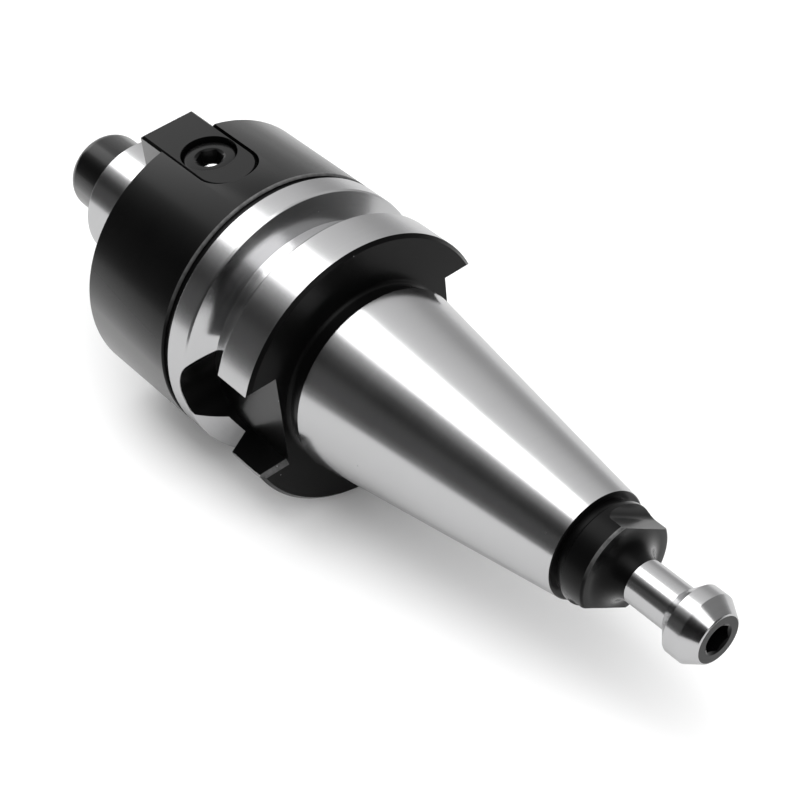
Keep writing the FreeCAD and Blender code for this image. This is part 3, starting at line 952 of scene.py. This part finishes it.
def collar_front_edge(radius, z):
    return COLLAR_FRONT - COLLAR_BREAK < z < COLLAR_FRONT and radius > COLLAR_EDGE


finish_faces(stud, DULL, everywhere)
finish_faces(stud, GROUND, stud_ground)
# The collar's front edge shows more steel on its upper side as a painted highlight, on top of a little
# wear.
finish_faces(stud, WORN_AND_HIGHLIT, collar_front_edge)

# %% [markdown]
# ## Wrench flats and socket
# Two flats are milled on the collar for a wrench, and the head has a small hexagon socket. The mill's
# corner is rounded, so each flat rises to its end wall in a hollow curve. The flats stand at the
# angle the stud happened to stop at when it was screwed in.

# %% Wrench flats and socket
FLAT_HALF = 6.35
FLAT_START = 50.6
FLAT_TURN = math.radians(52.7)
FLAT_CORNER = 1.2
FLAT_BLOCK = (6, 24, 14)


def bevel_edges(piece, chosen, reach, segments=1):
    """Bevels the edges whose two ends are both chosen."""
    only(piece)
    bpy.ops.object.mode_set(mode="EDIT")
    bpy.ops.mesh.select_mode(type="EDGE")
    bpy.ops.mesh.select_all(action="DESELECT")
    bpy.ops.object.mode_set(mode="OBJECT")
    corners = piece.data.vertices
    for edge in piece.data.edges:
        edge.select = all(chosen(corners[place].co / MM) for place in edge.vertices)
    bpy.ops.object.mode_set(mode="EDIT")
    bpy.ops.mesh.bevel(offset=reach * MM, segments=segments)
    bpy.ops.object.mode_set(mode="OBJECT")


def inner_foot(spot):
    return abs(spot.x) < FLAT_HALF + NEAR and spot.z < FLAT_START + NEAR


for side in (1, -1):
    bpy.ops.mesh.primitive_cube_add(size=1)
    flat = bpy.context.object
    flat.scale = [size * MM for size in FLAT_BLOCK]
    flat.location = (
        side * (FLAT_HALF + FLAT_BLOCK[0] / 2) * MM, 0, (FLAT_START + FLAT_BLOCK[2] / 2) * MM)
    settle(flat)
    bevel_edges(flat, inner_foot, FLAT_CORNER, 8)
    flat.rotation_euler = (0, 0, FLAT_TURN)
    settle(flat)
    cut(stud, flat)
cut_socket(stud, across=4, depth=5, top=STUD_END, walls=DULL)
smooth(stud)
hand_over(stud, "pull_stud")

# %% [markdown]
# ## Drive keys
# Each key is a block with a round rear end that drops into its pocket and stands out of the body's
# front. Its top edges are broken, and a counterbored hole takes its screw.

# %% Drive keys
KEY_BREAK = 0.4
SCREW_PLACE = -38.2
SCREW_SEAT = 16.45
COUNTERBORE = (4.5, KEY_TOP - SCREW_SEAT)
THROUGH_HOLE = (2.75, 12)
HOLE_SIDES = 64
key_outline = round_ended(KEY_HALF, KEY_FRONT, KEY_CENTRE)
key = block("drive_key_piece_1", key_outline, "X", -KEY_FLOOR, KEY_FLOOR - KEY_TOP)
key.data.materials.append(BLACK)
bevel_edges(key, lambda spot: abs(spot.y + KEY_TOP) < TOUCH, KEY_BREAK)
for radius, depth in (COUNTERBORE, THROUGH_HOLE):
    bpy.ops.mesh.primitive_cylinder_add(
        vertices=HOLE_SIDES, radius=radius * MM, depth=2 * depth * MM,
        location=(0, -KEY_TOP * MM, SCREW_PLACE * MM), rotation=(ACROSS_TURN, 0, 0))
    settle(bpy.context.object)
    cut(key, bpy.context.object)
smooth(key)
hand_over(key, "drive_key_1")
hand_over(copy_across(key, "drive_key_piece_2"), "drive_key_2")

# %% [markdown]
# ## Key screws
# A socket screw, turned and broached along Z and then laid into the key's counterbore. Its head
# stands just under the key's top.

# %% Key screws
SCREW_STEPS = 96


def screw_section(shank, length, tip, head, height, rounding, arc_steps):
    """Half the section of a screw whose head stands on z = 0, in millimetres."""
    edge = head - rounding
    shoulder = height - rounding
    return [
        (0, -length), (shank - tip, -length), (shank, tip - length), (shank, 0), (head, 0),
        (head, shoulder), (edge, height, edge, shoulder, 90, arc_steps), (0, height),
    ]


def make_screw(name, section, across, depth):
    """A screw turned along Z, with its socket in the head's end face."""
    screw = turn(name, section, SCREW_STEPS)
    finish_faces(screw, BLACK, everywhere)
    cut_socket(screw, across, depth, section[-1][1], DULL)
    return screw


def lay(screw, place, degrees):
    """Turns the screw about X and moves it to its place, in millimetres."""
    screw.rotation_euler = (math.radians(degrees), 0, 0)
    screw.location = Vector(place) * MM
    settle(screw)
    smooth(screw)


KEY_SCREW = screw_section(
    shank=2.5, length=10, tip=0.5, head=4.25, height=5, rounding=0.4, arc_steps=4)
key_screw = make_screw("key_screw_front", KEY_SCREW, across=4, depth=2.5)
lay(key_screw, (0, -SCREW_SEAT, SCREW_PLACE), 90)
hand_over(key_screw, "key_screws")
hand_over(copy_across(key_screw, "key_screw_back"), "key_screws")

# %% [markdown]
# ## The cutter's screw
# The cutter slides onto the pilot, and this screw clamps it. Its long head has a round shoulder and
# an 8 mm hexagon socket, and stands out of the pilot's end.

# %% Cutter screw
ARBOR_SCREW = screw_section(
    shank=5.0, length=18, tip=1.0, head=7.0, height=12, rounding=2.2, arc_steps=12)
arbor_screw = make_screw("arbor_screw_piece", ARBOR_SCREW, across=8, depth=5)
lay(arbor_screw, (0, 0, PILOT_END), 180)
hand_over(arbor_screw, "arbor_screw")
